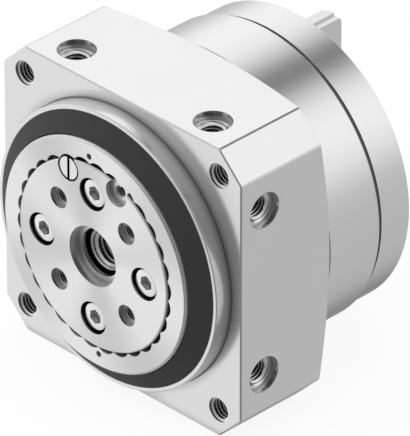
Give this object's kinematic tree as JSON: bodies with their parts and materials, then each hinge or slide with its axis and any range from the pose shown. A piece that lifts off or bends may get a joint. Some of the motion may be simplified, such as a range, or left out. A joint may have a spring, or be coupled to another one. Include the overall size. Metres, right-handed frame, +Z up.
{
  "type": "rotary swivel drive",
  "caption": "Pneumatic rotary swivel drive with a square front bearing block, a flat ball-bearing-carried output flange, a round vane housing and a rear stop lever.",
  "frame": {"origin": "where the drive axis meets the flat front face of the square block, at the centre of its four corner holes", "axes": "-Y along the drive axis out of the output face, +Z up through the flat top with the stop lever pointing up at rest, +X to the right seen from the output"},
  "size_m": [0.1, 0.102, 0.1],
  "materials": {
    "body_anodised": "milled, clear anodised, satin",
    "drum_anodised": "turned, clear anodised, satin",
    "turned_steel": "faced on a lathe, fine round grain",
    "screw_steel": "bright, satin",
    "ground_steel": "ground",
    "bearing_steel": "polished",
    "cage_brass": "machined",
    "bush_bronze": "sintered, matt",
    "seal_rubber": "matt black",
    "inner_aluminium": "machined",
    "lever_aluminium": "milled, satin",
    "buffer_plastic": "cast elastomer, matt"
  },
  "bodies": {
    "housing": {"bearing_housing": "body_anodised", "vane_housing": "drum_anodised", "rear_cover": "drum_anodised", "tie_screws": "screw_steel", "stop_screws": "screw_steel", "locating_pins": "ground_steel", "stator_pins": "ground_steel", "bearing_outer_ring": "bearing_steel", "bearing_retainer": "ground_steel", "front_bush": "bush_bronze", "rear_bush": "bush_bronze", "front_seal": "seal_rubber", "shaft_seal": "seal_rubber", "joint_seal": "seal_rubber", "register_o_ring": "seal_rubber", "stator_seal": "seal_rubber", "stator": "inner_aluminium", "stop_block": "lever_aluminium", "stop_buffers": "buffer_plastic"},
    "output": {"output_flange": "turned_steel", "lock_ring": "turned_steel", "lock_screw": "screw_steel", "flange_screws": "screw_steel", "flange_dowel": "ground_steel", "bearing_inner_ring": "bearing_steel", "drive_hub": "ground_steel", "hub_key": "ground_steel", "hub_screw": "screw_steel", "vane_shaft": "ground_steel", "vane": "inner_aluminium", "vane_seal": "seal_rubber", "stop_lever": "lever_aluminium", "lever_screw": "screw_steel"},
    "cage": {"bearing_cage": "cage_brass", "bearing_balls": "bearing_steel"}
  },
  "joints": [
    {"name": "swing", "type": "hinge", "parent": "housing", "child": "output", "pos_m": [0, 0, 0], "axis": [0, -1, 0], "range_deg": [-135, 135]},
    {"name": "cage_roll", "type": "hinge", "parent": "housing", "child": "cage", "pos_m": [0, 0.00625, 0], "axis": [0, -1, 0], "range_deg": [-60, 60]}
  ],
  "couplings": [
    {"joint": "cage_roll", "follows": "swing", "ratio": 0.43475}
  ]
}
